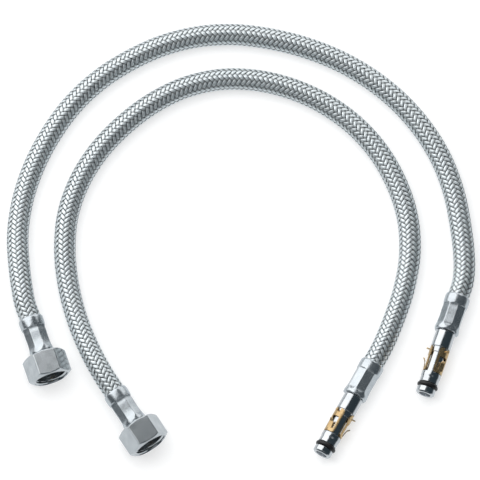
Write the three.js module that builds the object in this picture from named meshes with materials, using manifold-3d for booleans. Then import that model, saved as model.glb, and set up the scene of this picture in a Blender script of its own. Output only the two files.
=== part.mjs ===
// A pair of braided flexible supply lines for a mixer tap, lying nested on a flat surface.
// Each line is one hose with two crimped ends: a swivelling G3/8 union nut on a flanged tail
// with its sealing washer, and a 10 mm push-in plug with an O-ring and a brass retaining clip.
// Millimetres, +Z up. The surface is the plane z = 0, and the origin is the middle of the
// footprint of the four fittings.

import * as THREE from 'three';
import { mergeVertices } from 'three/addons/utils/BufferGeometryUtils.js';
import Module from 'manifold-3d';

const wasm = await Module();
wasm.setup();

// ---- Driving dimensions -------------------------------------------------------------------

const GAP = 0.3;                       // clearance between pieces that touch
const TURN = Math.PI * 2;

const HOSE = {
  sides: 8,                            // sides of the plain tubes
  steps: 28,                           // steps along the free length
  insertion: 14.6,                     // length of hose held inside a ferrule
  braid: { outer: 5.3, inner: 4.75, heldOuter: 4.5, heldInner: 4.1 },
  liner: { outer: 3.8, inner: 3.0 },
};

const FERRULE = {
  length: 19.2,
  domeRadius: 6.15,                    // rolled mouth on the hose side
  rimRadius: 6.1,                      // flared rim on the fitting side
  flats: 8,                            // crimped flats round the middle
  flatApothem: 5.5,
  flatStart: 5.2,
  flatEnd: 16.4,
  flatRun: 1.5,                        // length over which a flat fades into the round ends
  mouthBore: 5.65,
  crimpBore: 4.8,
  endWall: 0.7,
  endHole: 3.9,
};

const NUT = {
  acrossFlats: 19,                     // union nut for a G3/8 thread
  length: 12.8,
  chamferRadius: 9.15,                 // rear face after the 30 degree chamfer
  chamferAngle: THREE.MathUtils.degToRad(30),
  lip: 2.2,                            // inward lip that pulls on the tail's flange
  lipBore: 5.5,
  threadBore: 7.475,                   // minor radius of G3/8
  mouthRadius: 8.5,
  mouthDepth: 1.0,
  play: 1.2,                           // slack of the nut along the tail
};

const TAIL = {
  bore: 1.8,
  barb: 2.6,
  waist: 2.3,
  collar: 4.4,                         // shoulder that the hose end meets
  throat: 3.6,                         // waist through the ferrule's end wall
  neck: 5.0,
  flange: 7.1,
  flangeLength: 1.8,
  face: 3.0,                           // widened bore at the sealing face
};

const WASHER = { outer: 7.15, inner: 4.0, thickness: 2.0 };

const STEM = {
  length: 33.1,                        // from the ferrule to the tip
  body: 4.87,                          // 9.74 mm, for a 10 mm socket
  shoulder: 8.6,                       // end of the full-width body
  band: 4.1,
  bandEnd: 11.3,
  seat: 3.8,                           // seat that the clip turns on
  seatEnd: 22.1,
  ringEnd: 24.0,
  nose: 4.65,
  noseStart: 24.8,
  grooveStart: 27.4,
  grooveEnd: 30.0,
  groove: 2.95,
  tipBore: 2.75,
  tipBoreDepth: 2.6,
  tipChamfer: 0.5,
};

const O_RING = { section: 1.0, outer: 5.25 };

const CLIP = {
  thickness: 0.45,
  outer: 4.85,
  length: 12.9,
  opening: THREE.MathUtils.degToRad(48),
  windowAngle: THREE.MathUtils.degToRad(67),   // from the middle of the opening
  windowWidth: 4.4,
  windowStart: 4.4,                    // from the hose-side edge
  windowEnd: 11.2,
  tongueWidth: 3.0,
  tongueLength: 5.0,
  tongueLean: THREE.MathUtils.degToRad(20),
  notchWidth: 2.1,                     // open notch in the hose-side edge
  notchDepth: 1.5,
  tabLength: 1.7,
  tabWidth: 1.7,
};

// Free length of each hose, from its nut-end ferrule to its plug-end ferrule.
const ROUTES = {
  outer: [
    [-104.7, 27.95, 9.5], [-107.4, 35.95, 9.5], [-108.8, 43.6, 9], [-110.1, 53.45, 8.2],
    [-111, 72.1, 6.5], [-108.5, 90.3, 5.5], [-102.75, 108.05, 5.35], [-94.35, 124.55, 5.35],
    [-83.75, 139.45, 5.35], [-70.7, 152, 5.35], [-56, 161.8, 5.35], [-40, 169.3, 5.35],
    [-22.8, 173.8, 5.35], [-5.3, 174.9, 5.35], [12.2, 172.8, 5.35], [29.3, 168.4, 5.35],
    [45.8, 161.7, 5.35], [61.2, 152.5, 5.35], [75, 141, 5.35], [86.8, 127.2, 5.35],
    [96.2, 111.4, 5.35], [102.5, 94, 5.35], [105.9, 76.3, 5.45], [107.3, 64, 5.7],
    [107.6, 55, 6], [106.6, 46.2, 6.2], [104.6, 40.2, 6.2],
  ],
  inner: [
    [-63.35, -9.55, 9.5], [-67.65, -2.85, 9.5], [-75, 11.1, 8.3], [-81.65, 28.05, 6.5],
    [-86.1, 46, 5.5], [-87.95, 64.3, 5.35], [-86.4, 82.65, 5.35], [-80.5, 99.95, 5.35],
    [-71, 115.5, 5.35], [-58.8, 128.75, 5.35], [-44.65, 139.8, 5.35], [-29.1, 147.7, 5.35],
    [-12, 151.7, 5.35], [5.65, 151.3, 5.35], [22.65, 147.1, 5.35], [38.7, 139.6, 5.35],
    [53.15, 128.9, 5.35], [65.15, 115.3, 5.35], [74.1, 99.25, 5.35], [79.7, 81.7, 5.35],
    [81, 63.1, 5.35], [78.2, 44.9, 5.5], [72.5, 27, 5.9], [66.4, 12.5, 6.2],
    [62.8, 5.95, 6.2],
  ],
};

// Direction of each clip's opening, as an angle about the plug from its horizontal side.
const CLIP_FACING = {
  outer: THREE.MathUtils.degToRad(112),
  inner: THREE.MathUtils.degToRad(60),
};

// ---- Materials ----------------------------------------------------------------------------

const metal = (color, roughness) => new THREE.MeshStandardMaterial({ color, roughness, metalness: 1 });
const soft = (color, roughness) => new THREE.MeshStandardMaterial({ color, roughness, metalness: 0 });

const MATERIALS = {
  nut: metal(0xb9bec2, 0.28),
  ferrule: metal(0xc6cacd, 0.22),
  stem: metal(0xd2d4d6, 0.12),
  braid: metal(0xb4babd, 0.4),
  brass: metal(0xb98c4a, 0.35),
  liner: soft(0x2a2e30, 0.7),
  washer: soft(0x1f2021, 0.75),
  oRing: soft(0x141416, 0.5),
};

// ---- Helpers ------------------------------------------------------------------------------

// Closed mesh to solid: shared vertices are merged and collapsed triangles at an axis dropped.
function solid(geometry) {
  const bare = geometry.clone();
  bare.deleteAttribute('normal');
  bare.deleteAttribute('uv');
  const merged = mergeVertices(bare, 1e-4);
  const index = merged.index.array;
  const triangles = [];
  for (let i = 0; i < index.length; i += 3) {
    const [a, b, c] = [index[i], index[i + 1], index[i + 2]];
    if (a !== b && b !== c && c !== a) triangles.push(a, b, c);
  }
  return new wasm.Manifold(new wasm.Mesh({
    numProp: 3,
    vertProperties: merged.attributes.position.array,
    triVerts: new Uint32Array(triangles),
  }));
}

function geometryOf(manifold) {
  const mesh = manifold.getMesh();
  const geometry = new THREE.BufferGeometry();
  geometry.setAttribute('position', new THREE.BufferAttribute(mesh.vertProperties, 3));
  geometry.setIndex(new THREE.BufferAttribute(mesh.triVerts, 1));
  geometry.computeVertexNormals();
  return geometry;
}

// Turned piece about +Z from (radius, height) points, outer wall upwards.
function turned(points, segments) {
  const profile = points.map(([radius, height]) => new THREE.Vector2(radius, height));
  return new THREE.LatheGeometry(profile, segments).rotateX(Math.PI / 2);
}

// Turned ring: the profile closes on its first point.
const turnedRing = (points, segments) => turned([...points, points[0]], segments);

// Saw-tooth outline of a hose barb: each tooth rises steeply and falls away to the hose end.
function barbs(start, end, teeth, crest, root) {
  const pitch = (end - start) / teeth;
  const points = [];
  for (let i = 0; i < teeth; i++) {
    points.push([root, start + i * pitch], [crest, start + (i + 0.8) * pitch]);
  }
  return points;
}

// Frame of a fitting: origin at the hose's end, +Z outwards along the fitting, +Y upwards.
function fittingFrame(end, before) {
  const outwards = end.clone().sub(before).normalize();
  const up = new THREE.Vector3(0, 0, 1);
  const side = up.clone().cross(outwards).normalize();
  return new THREE.Matrix4().makeBasis(side, up, outwards).setPosition(end);
}

// ---- Hose ---------------------------------------------------------------------------------

const routeCurve = (points) => new THREE.CatmullRomCurve3(points, false, 'chordal');

// Hollow tube along the free length.
function freeTube(curve, outer, inner) {
  const section = new THREE.Shape();
  const hole = new THREE.Path();
  for (let i = 0; i < HOSE.sides; i++) {
    const angle = (i / HOSE.sides) * TURN;
    const [c, s] = [Math.cos(angle), Math.sin(angle)];
    section[i ? 'lineTo' : 'moveTo'](outer * c, outer * s);
    hole[i ? 'lineTo' : 'moveTo'](inner * c, inner * s);
  }
  section.closePath();
  hole.closePath();
  section.holes.push(hole);
  return new THREE.ExtrudeGeometry(section, { steps: HOSE.steps, extrudePath: curve });
}

// Squeezed end of a hose layer inside a ferrule; its root lies within the free tube's wall.
function heldSleeve({ outer, inner, heldOuter, heldInner }) {
  const middle = (inner + outer * Math.cos(Math.PI / HOSE.sides)) / 2;
  const root = 0.08;
  return turnedRing([
    [middle + root, -0.8], [middle + root, 1.0], [heldOuter, 4.6], [heldOuter, HOSE.insertion],
    [heldInner, HOSE.insertion], [heldInner, 4.0], [middle - root, 0.8], [middle - root, -0.8],
  ], 12);
}

function braid(points, frames) {
  const { outer, inner } = HOSE.braid;
  let body = solid(freeTube(routeCurve(points), outer, inner));
  for (const frame of frames) body = body.add(solid(heldSleeve(HOSE.braid).applyMatrix4(frame)));
  return geometryOf(body);
}

// The liner keeps one section and runs straight on into both ferrules.
function liner(points, frames) {
  const [first, last] = frames.map((frame) => (
    new THREE.Vector3(0, 0, HOSE.insertion).applyMatrix4(frame)
  ));
  const curve = routeCurve([first, ...points, last]);
  return geometryOf(solid(freeTube(curve, HOSE.liner.outer, HOSE.liner.inner)));
}

// ---- Crimped ferrule ----------------------------------------------------------------------

function ferrule() {
  const { length, domeRadius, rimRadius, flatStart, flatEnd, flatRun } = FERRULE;
  const shell = solid(turned([
    [0, 0], [5.75, 0], [6.0, 0.5], [domeRadius, 1.4], [domeRadius, 3.6], [6.0, flatStart],
    [5.95, flatStart + flatRun], [5.9, 14.6], [5.95, 16.0], [rimRadius, length - 1.6],
    [rimRadius, length - 0.5], [rimRadius - 0.5, length], [0, length],
  ], 24));
  const corner = FERRULE.flatApothem / Math.cos(Math.PI / FERRULE.flats);
  const open = corner + 1.6;
  const crimp = solid(turned([
    [0, -1], [open, -1], [open, flatStart - flatRun], [corner, flatStart + flatRun * 0.5],
    [corner, flatEnd - flatRun * 0.5], [open, flatEnd + flatRun], [open, length + 1],
    [0, length + 1],
  ], FERRULE.flats).rotateZ(Math.PI / FERRULE.flats));
  const hollow = solid(turned([
    [0, -1], [FERRULE.mouthBore, -1], [FERRULE.mouthBore, 2.4], [FERRULE.crimpBore, 5.2],
    [FERRULE.crimpBore, length - FERRULE.endWall - 0.4], [4.6, length - FERRULE.endWall],
    [FERRULE.endHole, length - FERRULE.endWall], [FERRULE.endHole, length + 1], [0, length + 1],
  ], 16));
  return geometryOf(shell.intersect(crimp).subtract(hollow));
}

// ---- Union-nut end ------------------------------------------------------------------------

// Stretch of a turned insert that is the same at both ends: barbs, hose collar and throat.
function hoseInsert(neck) {
  return [
    [TAIL.bore, 2.0], ...barbs(2.0, 14.0, 3, TAIL.barb, TAIL.waist), [TAIL.waist, 14.0],
    [TAIL.waist, HOSE.insertion + GAP], [TAIL.collar, HOSE.insertion + GAP],
    [TAIL.collar, FERRULE.length - FERRULE.endWall - GAP],
    [TAIL.throat, FERRULE.length - FERRULE.endWall - GAP],
    [TAIL.throat, FERRULE.length + GAP], [neck, FERRULE.length + GAP],
  ];
}

const NUT_START = FERRULE.length + GAP;
const FLANGE_START = NUT_START + NUT.lip + NUT.play + GAP;
const SEAL_FACE = FLANGE_START + TAIL.flangeLength;
const WASHER_START = SEAL_FACE + GAP;

function nutTail() {
  return geometryOf(solid(turnedRing([
    ...hoseInsert(TAIL.neck), [TAIL.neck, FLANGE_START], [TAIL.flange, FLANGE_START],
    [TAIL.flange, SEAL_FACE], [TAIL.face, SEAL_FACE], [TAIL.bore, SEAL_FACE - 2.4],
  ], 18)));
}

function unionNut() {
  const corner = NUT.acrossFlats / 2 / Math.cos(Math.PI / 6);
  const hexagon = new THREE.CylinderGeometry(corner, corner, NUT.length, 6, 1)
    .rotateX(Math.PI / 2)
    .rotateZ(Math.PI / 6)
    .translate(0, 0, NUT.length / 2);
  const wide = corner + 1;
  const chamfer = turned([
    [0, -0.01], [NUT.chamferRadius, -0.01],
    [wide, (wide - NUT.chamferRadius) * Math.tan(NUT.chamferAngle)],
    [wide, NUT.length + 1], [0, NUT.length + 1],
  ], 24);
  const bore = turned([
    [0, -1], [NUT.lipBore, -1], [NUT.lipBore, NUT.lip], [NUT.threadBore, NUT.lip],
    [NUT.threadBore, NUT.length - NUT.mouthDepth], [NUT.mouthRadius, NUT.length],
    [NUT.mouthRadius, NUT.length + 1], [0, NUT.length + 1],
  ], 30);
  return geometryOf(solid(hexagon).intersect(solid(chamfer)).subtract(solid(bore)));
}

function sealingWasher() {
  return geometryOf(solid(turnedRing([
    [WASHER.inner, 0], [WASHER.outer, 0], [WASHER.outer, WASHER.thickness],
    [WASHER.inner, WASHER.thickness],
  ], 24)));
}

// ---- Push-in plug end ---------------------------------------------------------------------

const STEM_START = FERRULE.length + GAP;

function plugStem() {
  const at = (z) => STEM_START + z;
  return geometryOf(solid(turnedRing([
    ...hoseInsert(STEM.body), [STEM.body, at(STEM.shoulder)], [STEM.band, at(STEM.shoulder)],
    [STEM.band, at(STEM.bandEnd)], [STEM.seat, at(STEM.bandEnd + 0.2)],
    [STEM.seat, at(STEM.seatEnd)], [STEM.body, at(STEM.seatEnd)], [STEM.body, at(STEM.ringEnd)],
    [STEM.nose, at(STEM.noseStart)], [STEM.nose, at(STEM.grooveStart)],
    [STEM.groove, at(STEM.grooveStart)], [STEM.groove, at(STEM.grooveEnd)],
    [STEM.nose, at(STEM.grooveEnd)], [STEM.nose, at(STEM.length - STEM.tipChamfer)],
    [STEM.nose - STEM.tipChamfer, at(STEM.length)], [STEM.tipBore, at(STEM.length)],
    [STEM.tipBore, at(STEM.length - STEM.tipBoreDepth)],
    [TAIL.bore, at(STEM.length - STEM.tipBoreDepth - 1.0)],
  ], 18)));
}

function oRing() {
  return geometryOf(solid(
    new THREE.TorusGeometry(O_RING.outer - O_RING.section, O_RING.section, 8, 20),
  ));
}

// Split sleeve of sheet brass. Its local +X is the middle of the opening, +Z runs to the tip.
function retainingClip() {
  const inner = CLIP.outer - CLIP.thickness;
  const half = CLIP.opening / 2;
  const sheet = new THREE.Shape();
  sheet.absarc(0, 0, CLIP.outer, half, TURN - half, false);
  sheet.absarc(0, 0, inner, TURN - half, half, true);
  sheet.closePath();
  let clip = solid(new THREE.ExtrudeGeometry(sheet, {
    depth: CLIP.length, bevelEnabled: false, curveSegments: 14,
  }));
  const reach = CLIP.outer + 1;
  const opening = CLIP.windowEnd - CLIP.windowStart;
  for (const side of [1, -1]) {
    const angle = side * CLIP.windowAngle;
    const window = new THREE.BoxGeometry(reach, CLIP.windowWidth, opening)
      .translate(reach / 2 + 1, 0, (CLIP.windowStart + CLIP.windowEnd) / 2)
      .rotateZ(angle);
    clip = clip.subtract(solid(window));
    // The tongue hangs on the window's tip-side edge and leans out towards the hose.
    const tongue = new THREE.BoxGeometry(CLIP.thickness, CLIP.tongueWidth, CLIP.tongueLength)
      .translate(0, 0, -CLIP.tongueLength / 2)
      .rotateY(-CLIP.tongueLean)
      .translate(CLIP.outer - CLIP.thickness / 2, 0, CLIP.windowEnd + 0.4)
      .rotateZ(angle);
    clip = clip.add(solid(tongue));
    // A small tab is turned out at the bottom of an open notch in the hose-side edge.
    const notch = new THREE.BoxGeometry(reach, CLIP.notchWidth, CLIP.notchDepth + 1)
      .translate(reach / 2 + 1, 0, (CLIP.notchDepth - 1) / 2)
      .rotateZ(angle);
    const tab = new THREE.BoxGeometry(CLIP.tabLength, CLIP.tabWidth, CLIP.thickness)
      .translate(CLIP.outer - 0.2 + CLIP.tabLength / 2, 0, CLIP.notchDepth + CLIP.thickness / 2)
      .rotateZ(angle);
    clip = clip.subtract(solid(notch)).add(solid(tab));
  }
  return geometryOf(clip);
}

// ---- One line -----------------------------------------------------------------------------

function addPiece(parent, name, geometry, material, along = 0, about = 0) {
  const mesh = new THREE.Mesh(geometry, material);
  mesh.name = name;
  mesh.position.z = along;
  mesh.rotation.z = about;
  parent.add(mesh);
}

function supplyLine(name) {
  const points = ROUTES[name].map(([x, y, z]) => new THREE.Vector3(x, y, z));
  const nutFrame = fittingFrame(points[0], points[1]);
  const plugFrame = fittingFrame(points.at(-1), points.at(-2));
  const frames = [nutFrame, plugFrame];

  const line = new THREE.Group();
  addPiece(line, `${name}_braid`, braid(points, frames), MATERIALS.braid);
  addPiece(line, `${name}_liner`, liner(points, frames), MATERIALS.liner);

  const nutEnd = new THREE.Group();
  nutEnd.applyMatrix4(nutFrame);
  addPiece(nutEnd, `${name}_nut_ferrule`, ferrule(), MATERIALS.ferrule);
  addPiece(nutEnd, `${name}_nut_tail`, nutTail(), MATERIALS.brass);
  addPiece(nutEnd, `${name}_union_nut`, unionNut(), MATERIALS.nut, NUT_START);
  addPiece(nutEnd, `${name}_sealing_washer`, sealingWasher(), MATERIALS.washer, WASHER_START);

  const plugEnd = new THREE.Group();
  plugEnd.applyMatrix4(plugFrame);
  const clipStart = STEM_START + STEM.shoulder + GAP;
  const ringMiddle = STEM_START + (STEM.grooveStart + STEM.grooveEnd) / 2;
  addPiece(plugEnd, `${name}_plug_ferrule`, ferrule(), MATERIALS.ferrule);
  addPiece(plugEnd, `${name}_plug_stem`, plugStem(), MATERIALS.stem);
  addPiece(plugEnd, `${name}_retaining_clip`, retainingClip(), MATERIALS.brass, clipStart,
    CLIP_FACING[name]);
  addPiece(plugEnd, `${name}_o_ring`, oRing(), MATERIALS.oRing, ringMiddle);

  line.add(nutEnd, plugEnd);
  return line;
}

const pair = new THREE.Group();
for (const name of Object.keys(ROUTES)) pair.add(supplyLine(name));

export default pair;
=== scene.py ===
import math

import bmesh
import bpy
import numpy as np
from mathutils import Matrix, Vector


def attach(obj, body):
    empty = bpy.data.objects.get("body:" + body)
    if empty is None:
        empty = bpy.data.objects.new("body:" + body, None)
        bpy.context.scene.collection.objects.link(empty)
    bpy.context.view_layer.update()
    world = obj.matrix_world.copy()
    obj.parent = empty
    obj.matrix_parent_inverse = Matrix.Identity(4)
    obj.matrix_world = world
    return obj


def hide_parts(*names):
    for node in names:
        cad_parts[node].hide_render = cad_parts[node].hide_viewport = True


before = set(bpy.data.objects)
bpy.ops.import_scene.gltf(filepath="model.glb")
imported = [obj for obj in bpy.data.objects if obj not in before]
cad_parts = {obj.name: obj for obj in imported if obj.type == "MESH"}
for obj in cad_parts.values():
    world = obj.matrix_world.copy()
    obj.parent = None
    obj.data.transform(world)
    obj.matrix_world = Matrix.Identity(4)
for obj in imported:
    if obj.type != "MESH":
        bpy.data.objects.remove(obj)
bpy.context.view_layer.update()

MM = 0.001
TURN = 2 * math.pi
LINES = ("outer", "inner")

# ---- Sizes in millimetres, the same as the CAD part's --------------------------------------

INSERTION = 14.6                        # straight stretch of hose inside each ferrule
FERRULE_LENGTH = 19.2
FITTING_START = 19.5                    # the nut's rear face and the stem's shoulder
NUT_LENGTH = 12.8
STEM_LENGTH = 33.1

# ---- Places in metres ----------------------------------------------------------------------

# Middle of each hose, from its nut-end ferrule to its plug-end ferrule.
ROUTES = {
    "outer": (
        (-0.1047, 0.02795, 0.0095), (-0.1074, 0.03595, 0.0095), (-0.1088, 0.0436, 0.009),
        (-0.1101, 0.05345, 0.0082), (-0.111, 0.0721, 0.0065), (-0.1085, 0.0903, 0.0055),
        (-0.10275, 0.10805, 0.00535), (-0.09435, 0.12455, 0.00535), (-0.08375, 0.13945, 0.00535),
        (-0.0707, 0.152, 0.00535), (-0.056, 0.1618, 0.00535), (-0.04, 0.1693, 0.00535),
        (-0.0228, 0.1738, 0.00535), (-0.0053, 0.1749, 0.00535), (0.0122, 0.1728, 0.00535),
        (0.0293, 0.1684, 0.00535), (0.0458, 0.1617, 0.00535), (0.0612, 0.1525, 0.00535),
        (0.075, 0.141, 0.00535), (0.0868, 0.1272, 0.00535), (0.0962, 0.1114, 0.00535),
        (0.1025, 0.094, 0.00535), (0.1059, 0.0763, 0.00545), (0.1073, 0.064, 0.0057),
        (0.1076, 0.055, 0.006), (0.1066, 0.0462, 0.0062), (0.1046, 0.0402, 0.0062),
    ),
    "inner": (
        (-0.06335, -0.00955, 0.0095), (-0.06765, -0.00285, 0.0095), (-0.075, 0.0111, 0.0083),
        (-0.08165, 0.02805, 0.0065), (-0.0861, 0.046, 0.0055), (-0.08795, 0.0643, 0.00535),
        (-0.0864, 0.08265, 0.00535), (-0.0805, 0.09995, 0.00535), (-0.071, 0.1155, 0.00535),
        (-0.0588, 0.12875, 0.00535), (-0.04465, 0.1398, 0.00535), (-0.0291, 0.1477, 0.00535),
        (-0.012, 0.1517, 0.00535), (0.00565, 0.1513, 0.00535), (0.02265, 0.1471, 0.00535),
        (0.0387, 0.1396, 0.00535), (0.05315, 0.1289, 0.00535), (0.06515, 0.1153, 0.00535),
        (0.0741, 0.09925, 0.00535), (0.0797, 0.0817, 0.00535), (0.081, 0.0631, 0.00535),
        (0.0782, 0.0449, 0.0055), (0.0725, 0.027, 0.0059), (0.0664, 0.0125, 0.0062),
        (0.0628, 0.00595, 0.0062),
    ),
}
# Middle of each clip's opening, as an angle about the plug from its horizontal side.
CLIP_FACING = {"outer": math.radians(112), "inner": math.radians(60)}
# How far the crimped flats are turned at the nut end and at the plug end, in radians.
CRIMP_TURN = {"outer": (-0.072, -0.044), "inner": (-0.10, 0.286)}


# ---- Camera --------------------------------------------------------------------------------

VIEW_HEIGHT = math.radians(73)          # angle of the camera above the surface
VIEW_CENTRE = Vector((-0.0022, 0.0710, 0.0))
VIEW_WIDTH = 0.2352                     # width of the picture at the surface
CAMERA_DISTANCE = 8.0
SENSOR = 36.0                           # millimetres
FAR_LIMIT = 60.0                        # beyond this the camera sees nothing


# ---- Materials -----------------------------------------------------------------------------

def new_material(name):
    material = bpy.data.materials.new(name)
    material.use_nodes = True
    return material, material.node_tree, material.node_tree.nodes["Principled BSDF"]


def noise(tree, scale, detail=4.0, stretch=(1, 1, 1)):
    """Noise in metres along the object's axes, squeezed or stretched along each."""
    place = tree.nodes.new("ShaderNodeTexCoord")
    mapping = tree.nodes.new("ShaderNodeMapping")
    texture = tree.nodes.new("ShaderNodeTexNoise")
    mapping.inputs["Scale"].default_value = stretch
    texture.inputs["Scale"].default_value = scale
    texture.inputs["Detail"].default_value = detail
    tree.links.new(place.outputs["Object"], mapping.inputs["Vector"])
    tree.links.new(mapping.outputs["Vector"], texture.inputs["Vector"])
    return texture


def ramp(tree, source, low, high, start=0.3, end=0.7):
    """Colour that runs from low to high while the source goes from start to end."""
    node = tree.nodes.new("ShaderNodeValToRGB")
    node.color_ramp.elements[0].position = start
    node.color_ramp.elements[1].position = end
    node.color_ramp.elements[0].color = (*low, 1)
    node.color_ramp.elements[1].color = (*high, 1)
    tree.links.new(source, node.inputs["Fac"])
    return node.outputs["Color"]


def spread(tree, source, low, high):
    """Number that runs from low to high while the source goes from 0 to 1."""
    node = tree.nodes.new("ShaderNodeMapRange")
    node.inputs["To Min"].default_value = low
    node.inputs["To Max"].default_value = high
    tree.links.new(source, node.inputs["Value"])
    return node.outputs["Result"]


def bump(tree, shader, source, distance):
    node = tree.nodes.new("ShaderNodeBump")
    node.inputs["Distance"].default_value = distance
    node.inputs["Strength"].default_value = 1.0
    tree.links.new(source, node.inputs["Height"])
    tree.links.new(node.outputs["Normal"], shader.inputs["Normal"])


def metal(name, tints, roughness, scale, grain=0.0, metallic=1.0, streaks=0.0):
    """Metal with a slightly uneven tint and polish, and a fine grain or upright streaks.

    grain and streaks are bump heights in metres, scale is how fine the unevenness is. The
    streaks run along the frame's Z, not along the piece.
    """
    material, tree, shader = new_material(name)
    shader.inputs["Metallic"].default_value = metallic
    cloud = noise(tree, scale).outputs["Fac"]
    tree.links.new(ramp(tree, cloud, *tints), shader.inputs["Base Color"])
    tree.links.new(spread(tree, cloud, *roughness), shader.inputs["Roughness"])
    if grain:
        bump(tree, shader, noise(tree, 2600, 3.0).outputs["Fac"], grain)
    if streaks:
        bump(tree, shader, noise(tree, 1500, 2.0, (1, 1, 0.03)).outputs["Fac"], streaks)
    return material


def painted_weave_shade(material, darkest):
    """Painted shade: darkens the tint towards the edges and dips of the strands, where shade falls
    in the gaps of the weave.
    """
    tree = material.node_tree
    shader = tree.nodes["Principled BSDF"]
    tint = shader.inputs["Base Color"].links[0].from_socket
    # The depth attribute holds painted shade for the gaps and dips of the weave, not a real depth.
    depth = tree.nodes.new("ShaderNodeAttribute")
    depth.attribute_name = "depth"
    shade = spread(tree, depth.outputs["Fac"], darkest, 1.0)
    mix = tree.nodes.new("ShaderNodeVectorMath")
    mix.operation = "SCALE"
    tree.links.new(tint, mix.inputs[0])
    tree.links.new(shade, mix.inputs["Scale"])
    tree.links.new(mix.outputs["Vector"], shader.inputs["Base Color"])


def rubber(name, tints, roughness, grain):
    """Dark rubber with a slightly uneven tint and a fine grain, its bump height in metres."""
    material, tree, shader = new_material(name)
    shader.inputs["Roughness"].default_value = roughness
    tint = ramp(tree, noise(tree, 700).outputs["Fac"], *tints)
    tree.links.new(tint, shader.inputs["Base Color"])
    bump(tree, shader, noise(tree, 3000, 2.0).outputs["Fac"], grain)
    return material


NUT_CHROME = metal(
    "nut_chrome", ((0.58, 0.61, 0.63), (0.68, 0.71, 0.73)), (0.14, 0.19), 240,
    grain=5e-7, metallic=0.94)
FERRULE_STEEL = metal(
    "ferrule_steel", ((0.58, 0.62, 0.65), (0.68, 0.72, 0.75)), (0.21, 0.28), 300,
    metallic=0.92, streaks=2.4e-5)
STEM_CHROME = metal("stem_chrome", ((0.64, 0.66, 0.68), (0.72, 0.74, 0.76)), (0.16, 0.22), 200)
BRAID_STEEL = metal(
    "braid_steel", ((0.88, 0.94, 0.97), (0.94, 0.99, 1.0)), (0.38, 0.48), 420, metallic=0.86)
# Painted shade in the gaps and dips of the weave, darkening the tint down to 3 per cent.
painted_weave_shade(BRAID_STEEL, 0.03)
TAIL_BRASS = metal("tail_brass", ((0.55, 0.42, 0.20), (0.70, 0.55, 0.28)), (0.22, 0.38), 300)
CLIP_BRASS = metal(
    "clip_brass", ((0.54, 0.36, 0.17), (0.72, 0.53, 0.29)), (0.20, 0.34), 420, metallic=0.92)
LINER_RUBBER = rubber(
    "liner_rubber", ((0.020, 0.023, 0.026), (0.035, 0.040, 0.044)), 0.6, 3e-6)
WASHER_RUBBER = rubber(
    "washer_rubber", ((0.012, 0.012, 0.013), (0.03, 0.03, 0.032)), 0.6, 4e-6)
RING_RUBBER = rubber(
    "ring_rubber", ((0.006, 0.006, 0.007), (0.014, 0.014, 0.015)), 0.35, 2e-6)


# ---- Mesh helpers --------------------------------------------------------------------------

def link(name, data):
    obj = bpy.data.objects.new(name, data)
    bpy.context.collection.objects.link(obj)
    return obj


def outward(obj):
    """Turns the faces of a closed mesh outwards."""
    shape = bmesh.new()
    shape.from_mesh(obj.data)
    bmesh.ops.recalc_face_normals(shape, faces=shape.faces)
    shape.to_mesh(obj.data)
    shape.free()
    return obj


def finished(name, mesh, material, sharp=None):
    """Object of a closed mesh, smooth except at edges sharper than an angle in degrees."""
    mesh.materials.append(material)
    mesh.shade_smooth()
    if sharp:
        mesh.set_sharp_from_angle(angle=math.radians(sharp))
    return outward(link(name, mesh))


def make_object(name, vertices, faces, material, sharp=40):
    mesh = bpy.data.meshes.new(name)
    mesh.from_pydata(vertices.tolist(), [], faces.tolist())
    return finished(name, mesh, material, sharp)


def polar_points(radius, angle, height):
    """Grid of points in metres from radii and heights in millimetres."""
    radius, angle, height = np.broadcast_arrays(radius, angle, height)
    points = np.stack([radius * np.cos(angle), radius * np.sin(angle), height], -1)
    return points.reshape(-1, 3) * MM


def grid_faces(rows, columns, wrap_rows=False):
    """Quads of a grid whose columns go round, and whose rows may too."""
    r = np.arange(rows if wrap_rows else rows - 1)
    r, c = np.meshgrid(r, np.arange(columns), indexing="ij")
    r2 = (r + 1) % rows
    c2 = (c + 1) % columns
    quads = np.stack([r * columns + c, r * columns + c2, r2 * columns + c2, r2 * columns + c], -1)
    return quads.reshape(-1, 4)


def rounded(profile, steps=4):
    """Closed outline from (radius, height, fillet) corners, each fillet as a short curve."""
    points = [np.array(p[:2], float) for p in profile]
    out = []
    for i, (corner, item) in enumerate(zip(points, profile)):
        fillet = item[2] if len(item) > 2 else 0.0
        before = points[i - 1] - corner
        after = points[(i + 1) % len(points)] - corner
        a, b = np.linalg.norm(before), np.linalg.norm(after)
        u, v = before / a, after / b
        half = math.acos(max(-1.0, min(1.0, float(u @ v)))) / 2
        if fillet <= 0 or abs(half - math.pi / 2) < 0.02:
            out.append(corner)
            continue
        cut = min(fillet / math.tan(half), 0.49 * a, 0.49 * b)
        start, end = corner + u * cut, corner + v * cut
        for t in np.linspace(0, 1, steps + 1):
            out.append((1 - t) ** 2 * start + 2 * t * (1 - t) * corner + t ** 2 * end)
    return np.array(out)


def turned(name, profile, material, segments=96):
    """Closed turned ring about +Z from a closed (radius, height) outline, in millimetres."""
    angle = np.linspace(0, TURN, segments, endpoint=False)
    vertices = polar_points(profile[:, :1], angle, profile[:, 1:])
    return make_object(name, vertices, grid_faces(len(profile), segments, True), material)


def place(obj, matrix):
    """Moves the mesh inside its object, whose own axes stay those of the frame."""
    obj.data.transform(matrix)
    return obj


# ---- Hose line -----------------------------------------------------------------------------

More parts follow.
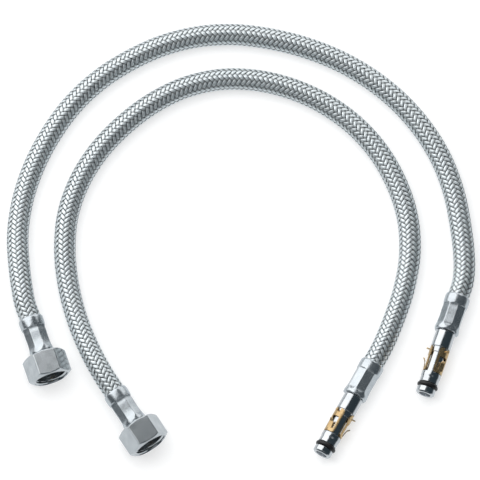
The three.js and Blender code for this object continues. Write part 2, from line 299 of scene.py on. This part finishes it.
def smooth_line(points, per_span=40):
    """Chordal Catmull-Rom curve through the points."""
    p = np.array(points, float)
    p = np.vstack([2 * p[0] - p[1], p, 2 * p[-1] - p[-2]])
    line = []
    for a, b, c, d in zip(p, p[1:], p[2:], p[3:]):
        d0, d1, d2 = (np.linalg.norm(v) for v in (b - a, c - b, d - c))
        t1 = ((b - a) / d0 - (c - a) / (d0 + d1) + (c - b) / d1) * d1
        t2 = ((c - b) / d1 - (d - b) / (d1 + d2) + (d - c) / d2) * d1
        t = np.linspace(0, 1, per_span, endpoint=False)[:, None]
        line.append(b + t1 * t + (3 * (c - b) - 2 * t1 - t2) * t ** 2
                    + (2 * (b - c) + t1 + t2) * t ** 3)
    return np.vstack(line + [p[-2:-1]])


def fitting_matrix(end, before):
    """Frame of a fitting: origin at the hose's end, +Z outwards along it, +Y upwards."""
    axis = (Vector(end) - Vector(before)).normalized()
    up = Vector((0, 0, 1))
    side = up.cross(axis).normalized()
    matrix = Matrix((side, up, axis)).transposed().to_4x4()
    matrix.translation = Vector(end)
    return matrix


class Hose:
    """Centreline of one hose with a frame that doesn't twist, by distance along it in metres."""

    def __init__(self, name):
        route = ROUTES[name]
        self.nut = fitting_matrix(route[0], route[1])
        self.plug = fitting_matrix(route[-1], route[-2])
        reach = INSERTION * MM
        head = np.array(self.nut @ Vector((0, 0, reach)))
        tail = np.array(self.plug @ Vector((0, 0, reach)))
        line = smooth_line(route)
        self.length = np.linalg.norm(np.diff(line, axis=0), axis=1).sum()
        line = np.vstack([head, line, tail])
        step = np.linalg.norm(np.diff(line, axis=0), axis=1)
        self.at = np.concatenate([[0], np.cumsum(step)]) - reach
        self.line = line
        self.tangent = np.gradient(line, self.at, axis=0)
        self.tangent /= np.linalg.norm(self.tangent, axis=1)[:, None]
        normal = np.array([0.0, 0.0, 1.0])
        self.normal = np.empty_like(line)
        for i, t in enumerate(self.tangent):
            normal = normal - t * (normal @ t)
            normal /= np.linalg.norm(normal)
            self.normal[i] = normal

    def sample(self, s):
        """Points, tangents and two cross directions at distances s."""
        def along(values):
            return np.stack([np.interp(s, self.at, values[:, i]) for i in range(3)], -1)
        point, tangent, normal = along(self.line), along(self.tangent), along(self.normal)
        tangent /= np.linalg.norm(tangent, axis=-1, keepdims=True)
        normal -= tangent * (normal * tangent).sum(-1, keepdims=True)
        normal /= np.linalg.norm(normal, axis=-1, keepdims=True)
        return point, tangent, normal, np.cross(tangent, normal)


def swept_tube(name, hose, outer, inner, start, end, step, sides, material):
    """Hollow tube along the hose, radii in millimetres."""
    s = np.linspace(start, end, int(round((end - start) / step)) + 1)
    point, _, normal, side = hose.sample(s)
    angle = np.linspace(0, TURN, sides, endpoint=False)[None, :, None]
    ring = np.cos(angle) * normal[:, None] + np.sin(angle) * side[:, None]
    outside = point[:, None] + outer * MM * ring
    inside = (point[:, None] + inner * MM * ring)[::-1]
    vertices = np.concatenate([outside, inside]).reshape(-1, 3)
    return make_object(name, vertices, grid_faces(2 * len(s), sides, True), material)


# ---- Braid and liner -----------------------------------------------------------------------

LINER_OUTER, LINER_INNER = 4.32, 3.0
TUCKED = 5.0                            # how far the visible braid and liner run into a ferrule
CARRIERS = 12                           # strands wound each way
LAY = 30.0                              # millimetres along the hose for one turn
BRAID_MIDDLE = 4.86                     # radius of the middle of the weave
WEAVE = 0.30                            # how far a strand rises and dips
STRAND_WIDTH = 1.68
STRAND_WIRES = 5
STRAND_EDGE = 0.10                      # half the thickness at a strand's edges
STRAND_CROWN = 0.17                     # how much the middle of a strand stands above them
WIRE_GROOVE = 0.05
EDGE_PAINTED_SHADE = 0.15                        # share of a strand's half width over which painted shade darkens its edge
DIP_PAINTED_SHADE = (-0.2, 0.5)                  # rise of a strand, from -1 to 1, over which its painted shade lifts to full brightness
SAMPLES_PER_CROSSING = 2
TUCK_START = 1.5                        # the braid narrows from here on inside a ferrule
TUCK_LENGTH = 3.0
TUCK_SLOPE = 0.26                       # how much its radius shrinks for each millimetre


def strand_section():
    """Outline of a strand: a crowned row of wires on top, a flat underside."""
    half = STRAND_WIDTH / 2
    points = []
    for i in range(2 * STRAND_WIRES + 1):
        x = -half + STRAND_WIDTH * i / (2 * STRAND_WIRES)
        crown = STRAND_EDGE + STRAND_CROWN * (1 - (x / half) ** 2)
        points.append((x, crown if i % 2 else crown - WIRE_GROOVE))
    points.append((0.0, -STRAND_EDGE))
    return np.array(points)


def braid_family(name, hose, way):
    """The strands that wind one way round the hose, woven two over and two under."""
    pace = TURN / (LAY * MM)
    crossing = LAY * MM / (2 * CARRIERS)
    step = crossing / SAMPLES_PER_CROSSING
    reach = TUCKED * MM
    count = int((hose.length + 2 * reach) / step) + 1
    s = -reach + step * np.arange(count)
    point, _, normal, side = hose.sample(s)
    section = strand_section()
    # Painted shade: 1 on top of a strand, falling to 0 at its edges and on its underside, where the
    # gaps of the weave are shaded.
    crown = np.clip((1.0 - np.abs(section[:, 0]) / (STRAND_WIDTH / 2)) / EDGE_PAINTED_SHADE, 0, 1)
    crown[-1] = 0.0
    crossings = s / crossing
    inside = np.maximum(-s, s - hose.length) / MM
    tuck = TUCK_SLOPE * np.clip(inside - TUCK_START, 0, TUCK_LENGTH)
    vertices, faces, painted_shade_values = [], [], []
    for i in range(CARRIERS):
        phase = 2 * i + crossings - 0.5 if way > 0 else 2 * i - crossings - 2.5
        rise = np.cos(math.pi / 2 * phase)
        radius = (BRAID_MIDDLE + WEAVE * rise - tuck) * MM
        angle = TURN * i / CARRIERS + way * pace * s
        out = np.cos(angle)[:, None] * normal + np.sin(angle)[:, None] * side
        centre = point + radius[:, None] * out
        run = np.gradient(centre, axis=0)
        run /= np.linalg.norm(run, axis=1)[:, None]
        across = np.cross(out, run)
        across /= np.linalg.norm(across, axis=1)[:, None]
        up = np.cross(run, across)
        ring = (centre[:, None] + section[None, :, :1] * MM * across[:, None]
                + section[None, :, 1:] * MM * up[:, None])
        base = len(vertices) * count * len(section)
        vertices.append(ring.reshape(-1, 3))
        # Painted shade where a strand dips under the strands that cross it.
        above = np.clip((rise - DIP_PAINTED_SHADE[0]) / (DIP_PAINTED_SHADE[1] - DIP_PAINTED_SHADE[0]), 0, 1)
        painted_shade_values.append((above[:, None] * crown[None, :]).ravel())
        faces.extend((grid_faces(count, len(section)) + base).tolist())
        first = list(range(base, base + len(section)))
        last = [k + (count - 1) * len(section) for k in first]
        faces.extend([first[::-1], last])
    mesh = bpy.data.meshes.new(name)
    mesh.from_pydata(np.vstack(vertices).tolist(), [], faces)
    # The depth attribute stores the painted shade that the braid's material reads.
    mesh.attributes.new("depth", "FLOAT", "POINT").data.foreach_set("value", np.hstack(painted_shade_values))
    return finished(name, mesh, BRAID_STEEL)


# ---- Crimped ferrule -----------------------------------------------------------------------

FLATS = 8
APOTHEM = 5.5
RIM_WAVE = 0.22                         # how far the rim's edge rises and falls with the flats


def smooth_steps(x, stations):
    """Smooth curve through (place, value) stations, as Hermite cubics."""
    places = np.array([p for p, _ in stations], float)
    values = np.array([v for _, v in stations], float)
    slope = np.gradient(values, places)
    i = np.clip(np.searchsorted(places, x) - 1, 0, len(places) - 2)
    width = places[i + 1] - places[i]
    t = np.clip((x - places[i]) / width, 0, 1)
    return ((2 * t ** 3 - 3 * t ** 2 + 1) * values[i] + (t ** 3 - 2 * t ** 2 + t) * width * slope[i]
            + (-2 * t ** 3 + 3 * t ** 2) * values[i + 1] + (t ** 3 - t ** 2) * width * slope[i + 1])


def soft_min(a, b, softness):
    """The smaller of two radii, rounded where they meet."""
    h = np.clip(0.5 + 0.5 * (b - a) / softness, 0, 1)
    return b * (1 - h) + a * h - softness * h * (1 - h)


def from_flat(angle, sides):
    """Angle from the middle of the nearest flat of a polygon."""
    sector = TURN / sides
    return (angle + sector / 2) % sector - sector / 2


def ferrule(name, turn):
    """Shell with a round bulge at the hose, eight crimped flats and a flared rim."""
    columns = 192
    angle = np.linspace(0, TURN, columns, endpoint=False)
    z = np.concatenate([
        [0.0, 0.08, 0.25, 0.5], np.linspace(0.8, 4.0, 12), np.linspace(4.15, 6.0, 18),
        np.linspace(6.4, 14.6, 16), np.linspace(14.8, 17.6, 16), np.linspace(17.8, 18.7, 6),
        [18.9, 19.05, 19.15, FERRULE_LENGTH]])
    round_body = smooth_steps(z, [
        (0, 5.72), (0.25, 5.93), (0.8, 6.1), (1.8, 6.16), (3.0, 6.15), (4.2, 6.1), (5.4, 6.0),
        (8, 5.98), (14, 5.98), (16, 6.02), (17.4, 6.08), (18.5, 6.1), (18.95, 6.03),
        (FERRULE_LENGTH, 5.8)])
    flat = smooth_steps(z, [
        (0, 7.2), (4.2, 6.9), (4.9, 6.2), (5.5, APOTHEM + 0.10), (6.0, APOTHEM), (8, APOTHEM),
        (14.6, APOTHEM), (15.8, 5.62), (17.0, 5.92), (18.2, 6.25), (FERRULE_LENGTH, 6.7)])
    flats = flat[:, None] / np.cos(from_flat(angle + turn, FLATS))[None, :]
    outer = soft_min(np.broadcast_to(round_body[:, None], flats.shape), flats, 0.05)
    towards_rim = np.clip((z - 16.5) / 2.7, 0, 1)[:, None]
    height = z[:, None] - RIM_WAVE * (towards_rim * np.cos(FLATS * (angle + turn))[None, :])
    bore = np.array([
        (3.9, 19.1), (3.9, 18.5), (4.6, 18.4), (4.8, 18.0), (4.8, 5.4), (5.2, 4.2),
        (5.62, 2.6), (5.62, 0.3), (5.66, 0.08)])
    inner = np.broadcast_to(bore[:, :1], (len(bore), columns))
    inner_height = np.broadcast_to(bore[:, 1:], (len(bore), columns))
    radius = np.vstack([outer, inner])
    vertices = polar_points(radius, angle, np.vstack([height, inner_height]))
    faces = grid_faces(len(radius), columns, True)
    return make_object(name, vertices, faces, FERRULE_STEEL, 50)


# ---- Union-nut end -------------------------------------------------------------------------

NUT_APOTHEM = 9.5
NUT_CORNER = NUT_APOTHEM / math.cos(math.pi / 6) - 0.06
NUT_CHAMFER = math.radians(30)
NUT_FACE = 8.75                         # radius at which the chamfers start
THREAD_MINOR = 7.475
THREAD_MAJOR = 8.33
THREAD_START = 12.0                     # heights of the thread's two ends above the rear face
THREAD_END = 3.4
PITCH = 1.337


def hexagon_angles():
    """Angles round a hexagon, closer together at its corners."""
    half = math.pi / 6
    part = np.array([0.0, 0.22, 0.42, 0.6, 0.74, 0.85, 0.92, 0.96, 0.985])
    sector = np.concatenate([-part[:0:-1], part, [1.0]]) * half
    return np.concatenate([sector + k * 2 * half for k in range(6)])


def union_nut(name):
    """Hexagon chamfered at both ends, with an inward lip and an internal thread."""
    around = hexagon_angles()
    angle = around + math.pi / 2
    columns = len(angle)
    flats = NUT_APOTHEM / np.cos(from_flat(around, 6))
    hexagon = soft_min(flats, np.full(columns, NUT_CORNER), 0.08)
    rear = ((5.5, 0.35), (5.62, 0.08), (5.9, 0.0), (8.45, 0.0), (8.68, 0.02))
    mouth = ((8.72, 12.79), (8.66, NUT_LENGTH), (8.58, 12.77), (8.5, 12.66), (8.36, 12.3))
    lip = ((8.33, 3.1), (8.33, 2.45), (8.1, 2.2), (5.7, 2.2), (5.5, 2.0))
    rows = list(rear)
    for height in np.concatenate([np.linspace(0.06, 1.5, 20), np.linspace(1.8, 11.0, 11),
                                  np.linspace(11.3, 12.74, 20)]):
        from_end = min(height, NUT_LENGTH - height) - 0.04
        cone = NUT_FACE + from_end / math.tan(NUT_CHAMFER)
        rows.append((soft_min(hexagon, np.full(columns, cone), 0.05), height))
    rows += mouth
    for height in np.arange(THREAD_START, THREAD_END - 0.1, -PITCH / 8):
        turn = (height / PITCH - angle / TURN) % 1.0
        tooth = np.clip(1.25 * (1 - np.abs(2 * turn - 1)) - 0.125, 0, 1)
        tooth = tooth * tooth * (3 - 2 * tooth)
        fade = np.clip(height - THREAD_END, 0, 1)
        rows.append((THREAD_MAJOR - (THREAD_MAJOR - THREAD_MINOR) * tooth * fade, height))
    rows += lip
    radius = np.array([np.broadcast_to(r, columns) for r, _ in rows])
    height = np.array([[h] for _, h in rows])
    vertices = polar_points(radius, angle, height)
    return make_object(name, vertices, grid_faces(len(rows), columns, True), NUT_CHROME, 35)


BORE = 1.8                              # radius of the water's way through both inserts
BARB_COUNT, BARB_PITCH = 4, 3


def insert_outline(neck):
    """Part of a turned insert that lies in the hose and the ferrule, up to its neck's radius."""
    points = [(BORE, 2.0, 0.2)]
    for i in range(BARB_COUNT):
        points += [(2.3, 2.0 + BARB_PITCH * i, 0.05), (2.6, 4.4 + BARB_PITCH * i, 0.1)]
    points += [(2.3, 14.0, 0.05), (2.3, 14.9, 0), (4.4, 14.9, 0.1), (4.4, 18.2, 0.1),
               (3.6, 18.2, 0.1), (3.6, FITTING_START, 0), (neck, FITTING_START, 0.25)]
    return points


def nut_tail(name):
    """Barbed insert with a neck and the flange that the union nut pulls on."""
    flange, face = FITTING_START + 3.7, FITTING_START + 5.5
    neck = 5.0
    outline = insert_outline(neck) + [
        (neck, flange, 0.3), (7.1, flange, 0.25), (7.1, face, 0.25), (3.0, face, 0.15),
        (BORE, face - 2.4, 0.2)]
    return turned(name, rounded(outline), TAIL_BRASS)


def sealing_washer(name):
    inner, outer = 4.0, 7.15
    low = FITTING_START + 5.8
    high = low + 2.0
    outline = [(inner, low, 0.2), (outer, low, 0.3), (outer, high, 0.3), (inner, high, 0.2)]
    return turned(name, rounded(outline), WASHER_RUBBER)


# ---- Push-in plug end ----------------------------------------------------------------------

BODY, NOSE = 4.87, 4.65                 # radii of the stem
GROOVE = (27.4, 30.0)                   # the O-ring's groove, from the stem's shoulder


def plug_stem(name):
    """Wide body, seat of the clip, collar, groove and tip, with the bore widened at the tip."""
    outline = insert_outline(BODY)
    for radius, z, fillet in [
            (BODY, 8.6, 0.15), (4.1, 8.6, 0.05), (4.1, 11.3, 0.15), (3.8, 11.5, 0.1),
            (3.8, 22.1, 0.1), (BODY, 22.1, 0.15), (BODY, 23.9, 0.15), (NOSE, 24.8, 0.2),
            (NOSE, GROOVE[0], 0.12), (2.95, GROOVE[0], 0.2), (2.95, GROOVE[1], 0.2),
            (NOSE, GROOVE[1], 0.12), (NOSE, 32.5, 0.3), (4.1, STEM_LENGTH, 0.2),
            (2.85, STEM_LENGTH, 0.15), (2.75, 30.6, 0.2), (BORE, 29.5, 0.3)]:
        outline.append((radius, FITTING_START + z, fillet))
    return turned(name, rounded(outline, 5), STEM_CHROME, 128)


def o_ring(name):
    """Ring slightly squeezed in its groove, so its section is a little taller than wide."""
    middle = FITTING_START + sum(GROOVE) / 2
    ring = np.linspace(0, TURN, 20, endpoint=False)
    outline = np.stack([4.25 + np.cos(ring), middle + 1.05 * np.sin(ring)], -1)
    return turned(name, outline, RING_RUBBER, 112)


CLIP_START = FITTING_START + 8.9
CLIP_LENGTH = 12.9
CLIP_OUTER = 4.85
CLIP_SHEET = 0.45
CLIP_OPENING = math.radians(48)
CLIP_CORNER = 1.6                       # rounding of the panel's corners at the opening
CLIP_WINDOW = math.radians(67)          # a window's middle, from the middle of the opening
WINDOW = (4.4, 4.4, 11.2, 0.7)          # width, low end, high end, corner radius
NOTCH = (2.1, -1.5, 1.5, 0.35)


def cut(obj, cutter):
    """Takes a cutter's shape out of an object, and the cutter out of the scene."""
    modifier = obj.modifiers.new("cut", "BOOLEAN")
    modifier.object = cutter
    modifier.operation = "DIFFERENCE"
    modifier.solver = "EXACT"
    bpy.context.view_layer.objects.active = obj
    obj.select_set(True)
    bpy.ops.object.modifier_apply(modifier=modifier.name)
    obj.select_set(False)
    bpy.data.objects.remove(cutter)


def rounded_slot(name, width, low, high, corner, angle):
    """Radial cutter with a rounded rectangular section, centred on an angle."""
    near_radius, depth = 2.5, 5.5
    middle, half = (low + high) / 2, (high - low) / 2
    points = []
    for cx, cz, start in ((1, 1, 0), (-1, 1, 90), (-1, -1, 180), (1, -1, 270)):
        for t in np.linspace(0, 90, 7):
            a = math.radians(start + t)
            points.append((cx * (width / 2 - corner) + corner * math.cos(a),
                           middle + cz * (half - corner) + corner * math.sin(a)))
    count = len(points)
    points = np.array(points)
    near = np.stack([np.full(count, near_radius), points[:, 0], points[:, 1]], -1)
    vertices = np.concatenate([near, near + np.array([depth, 0, 0])]) * MM
    faces = grid_faces(2, count).tolist()
    faces += [list(range(count))[::-1], list(range(count, 2 * count))]
    mesh = bpy.data.meshes.new(name)
    mesh.from_pydata(vertices.tolist(), [], faces)
    return outward(place(link(name, mesh), Matrix.Rotation(angle, 4, "Z")))


def end_faces(rows, columns):
    """The two caps of an open grid that wraps round its columns."""
    first = list(range(columns))
    return [first[::-1], [k + (rows - 1) * columns for k in first]]


def strip(path, widths, thickness):
    """Vertices and faces of a closed strip of sheet along a path of (radius, height) points."""
    path = np.array(path, float)
    run = np.gradient(path, axis=0)
    run /= np.linalg.norm(run, axis=1)[:, None]
    normal = np.stack([-run[:, 1], run[:, 0]], -1)
    across = np.linspace(-1, 1, 9)
    shell = []
    for sign in (1, -1):
        edge = path + sign * normal * thickness / 2
        x = np.broadcast_to(edge[:, :1], (len(path), len(across)))
        y = np.array(widths)[:, None] / 2 * across[None, :]
        z = np.broadcast_to(edge[:, 1:], x.shape)
        shell.append(np.stack([x, y, z], -1))
    top, bottom = shell
    loop = np.concatenate([top, bottom[:, ::-1]], axis=1)
    rows, columns = loop.shape[:2]
    faces = grid_faces(rows, columns).tolist() + end_faces(rows, columns)
    return loop.reshape(-1, 3) * MM, faces


def clip_sleeve(name):
    """The split sleeve of sheet, before anything is cut in it."""
    rows, levels = 97, 27
    half = CLIP_OPENING / 2
    around = np.linspace(half, TURN - half, rows)
    # Distance from the nearer edge of the opening, and how far the corner's rounding cuts in.
    arc = (around - half) * CLIP_OUTER
    arc = np.minimum(arc, arc[::-1])
    cut_in = CLIP_CORNER - np.sqrt(np.clip(CLIP_CORNER ** 2 - (CLIP_CORNER - arc) ** 2, 0, None))
    inset = np.where(arc < CLIP_CORNER, cut_in, 0)[:, None]
    height = inset + (CLIP_LENGTH - 2 * inset) * np.linspace(0, 1, levels)[None, :]
    outside = np.full_like(height, CLIP_OUTER)
    radius = np.concatenate([outside, outside - CLIP_SHEET], axis=1)
    height = np.concatenate([height, height[:, ::-1]], axis=1)
    vertices = polar_points(radius, around[:, None], height)
    faces = grid_faces(rows, 2 * levels).tolist() + end_faces(rows, 2 * levels)
    mesh = bpy.data.meshes.new(name)
    mesh.from_pydata(vertices.tolist(), [], faces)
    return outward(link(name, mesh))


def tapered(width, narrowing, t):
    """Widths along a tongue whose free end is rounded off."""
    return width - narrowing * np.clip((t - 0.7) / 0.3, 0, None) ** 2


def clip_tongues():
    """The barb and the tab of a window as (path, widths), each starting at the sheet."""
    t = np.linspace(0, 1, 15)
    lift = 1.0 * t ** 1.3 + 0.75 * np.clip((t - 0.65) / 0.35, 0, None) ** 2
    barb = np.stack([4.62 + lift, 11.6 - 4.9 * t ** 0.9], -1)
    tab = np.stack([4.6 + 1.9 * t, 2.0 - 0.5 * np.sin(np.minimum(1, 3 * t) * math.pi / 2)], -1)
    return (barb, tapered(2.5, 0.9, t)), (tab, tapered(1.7, 0.5, t))


def retaining_clip(name):
    """Split brass sleeve with two windows, a barb bent out of each, and a small tab behind it."""
    obj = clip_sleeve(name)
    for side in (1, -1):
        cut(obj, rounded_slot("window", *WINDOW, side * CLIP_WINDOW))
        cut(obj, rounded_slot("notch", *NOTCH, side * CLIP_WINDOW))
    shape = bmesh.new()
    shape.from_mesh(obj.data)
    for side in (1, -1):
        turn = Matrix.Rotation(side * CLIP_WINDOW, 4, "Z")
        for path, widths in clip_tongues():
            vertices, faces = strip(path, widths, CLIP_SHEET * 0.85)
            made = [shape.verts.new(turn @ Vector(v)) for v in vertices]
            for face in faces:
                shape.faces.new([made[k] for k in face])
    bmesh.ops.recalc_face_normals(shape, faces=shape.faces)
    shape.to_mesh(obj.data)
    shape.free()
    obj.data.materials.clear()
    obj.data.materials.append(CLIP_BRASS)
    obj.data.shade_smooth()
    obj.data.set_sharp_from_angle(angle=math.radians(35))
    return obj


# ---- The two lines -------------------------------------------------------------------------

CORD_POINTS = 160


def add(obj, matrix, line, node, body="line"):
    """Puts a piece in its place, on a body, in the stead of a CAD node."""
    place(obj, matrix)
    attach(obj, f"{line}_{body}")
    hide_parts(f"{line}_{node}")
    return obj


def add_hose(line, hose):
    still = Matrix.Identity(4)
    reach = TUCKED * MM
    left, right = (
        add(braid_family(f"{line}_braid_{side}", hose, way), still, line, "braid")
        for side, way in (("left", 1), ("right", -1)))
    core = swept_tube(f"{line}_liner_hose", hose, LINER_OUTER, LINER_INNER, -reach,
                      hose.length + reach, 2.0 * MM, 32, LINER_RUBBER)
    add(core, still, line, "liner")
    middle = hose.sample(np.linspace(0, hose.length, CORD_POINTS))[0]


def add_nut_end(line, hose):
    shell = ferrule(f"{line}_nut_end_ferrule", CRIMP_TURN[line][0])
    add(shell, hose.nut, line, "nut_ferrule")
    add(nut_tail(f"{line}_tail"), hose.nut, line, "nut_tail")
    nut_place = hose.nut @ Matrix.Translation((0, 0, FITTING_START * MM))
    add(union_nut(f"{line}_swivel_nut"), nut_place, line, "union_nut", "nut")
    add(sealing_washer(f"{line}_washer_disc"), hose.nut, line, "sealing_washer",
        "washer")


def add_plug_end(line, hose):
    shell = ferrule(f"{line}_plug_end_ferrule", CRIMP_TURN[line][1])
    add(shell, hose.plug, line, "plug_ferrule")
    add(plug_stem(f"{line}_stem"), hose.plug, line, "plug_stem")
    clip_place = (hose.plug @ Matrix.Translation((0, 0, CLIP_START * MM))
                  @ Matrix.Rotation(CLIP_FACING[line], 4, "Z"))
    add(retaining_clip(f"{line}_clip"), clip_place, line, "retaining_clip", "clip")
    add(o_ring(f"{line}_ring"), hose.plug, line, "o_ring")


for line in LINES:
    hose = Hose(line)
    add_hose(line, hose)
    add_nut_end(line, hose)
    add_plug_end(line, hose)


# ---- Floor and light -----------------------------------------------------------------------

def floor():
    size = 3.0
    mesh = bpy.data.meshes.new("floor")
    mesh.from_pydata([(-size, -size, 0), (size, -size, 0), (size, size, 0), (-size, size, 0)],
                     [], [(0, 1, 2, 3)])
    obj = link("floor", mesh)
    material, _, shader = new_material("floor")
    shader.inputs["Base Color"].default_value = (0.56, 0.56, 0.56, 1)
    shader.inputs["Roughness"].default_value = 0.9
    shader.inputs["Specular IOR Level"].default_value = 0.1
    shader.inputs["Emission Color"].default_value = (1.0, 1.0, 1.0, 1)
    shader.inputs["Emission Strength"].default_value = 0.50
    mesh.materials.append(material)
    obj.visible_glossy = False


def soft_box(name, direction, distance, across, upwards, radiance, in_reflections=True):
    """Rectangular light facing the object from a direction (azimuth, height) in degrees.

    across and upwards are its sides' places, measured from that direction in units of distance.
    """
    light = bpy.data.lights.new(name, "AREA")
    light.shape = "RECTANGLE"
    light.size = (across[1] - across[0]) * distance
    light.size_y = (upwards[1] - upwards[0]) * distance
    light.energy = radiance * math.pi * light.size * light.size_y
    azimuth, height = (math.radians(v) for v in direction)
    towards = Vector((math.sin(azimuth) * math.cos(height), math.cos(azimuth) * math.cos(height),
                      math.sin(height)))
    right = Vector((math.cos(azimuth), -math.sin(azimuth), 0))
    up = right.cross(towards)
    obj = link(name, light)
    obj.matrix_world = Matrix((-right, up, towards)).transposed().to_4x4()
    obj.location = VIEW_CENTRE + distance * (
        towards + right * sum(across) / 2 + up * sum(upwards) / 2)
    obj.visible_glossy = in_reflections


def studio_world():
    """A pale ground well below the horizon, a dark blue-grey room above it."""
    world = bpy.data.worlds.new("studio")
    bpy.context.scene.world = world
    world.use_nodes = True
    tree = world.node_tree
    direction = tree.nodes.new("ShaderNodeTexCoord")
    parts = tree.nodes.new("ShaderNodeSeparateXYZ")
    tree.links.new(direction.outputs["Generated"], parts.inputs["Vector"])
    height = tree.nodes.new("ShaderNodeMapRange")
    height.inputs["From Min"].default_value = -1.0
    tree.links.new(parts.outputs["Z"], height.inputs["Value"])
    ground, room = (0.76, 0.79, 0.81), (0.032, 0.046, 0.055)
    colour = ramp(tree, height.outputs["Result"], ground, room, 0.34, 0.47)
    tree.links.new(colour, tree.nodes["Background"].inputs["Color"])


def add_camera():
    data = bpy.data.cameras.new("camera")
    data.sensor_width = SENSOR
    data.lens = SENSOR * CAMERA_DISTANCE / VIEW_WIDTH
    data.clip_end = FAR_LIMIT
    camera = link("camera", data)
    towards = Vector((0, -math.cos(VIEW_HEIGHT), math.sin(VIEW_HEIGHT)))
    camera.location = VIEW_CENTRE + CAMERA_DISTANCE * towards
    camera.rotation_euler = (math.pi / 2 - VIEW_HEIGHT, 0, 0)
    bpy.context.scene.camera = camera


add_camera()
floor()
soft_box("key_box", (-48, 40), 2.0, (-0.85, 0.45), (-0.85, 0.75), 1.4)
soft_box("back_box", (16, 22), 2.0, (-0.65, 0.65), (-0.45, 0.45), 1.05)
soft_box("front_box", (180, 50), 2.0, (-0.5, 0.5), (-0.4, 0.4), 0.22)
soft_box("top_fill", (0, 90), 2.0, (-0.6, 0.6), (-0.6, 0.6), 2.0, in_reflections=False)
studio_world()
bpy.context.scene.view_settings.view_transform = "Standard"
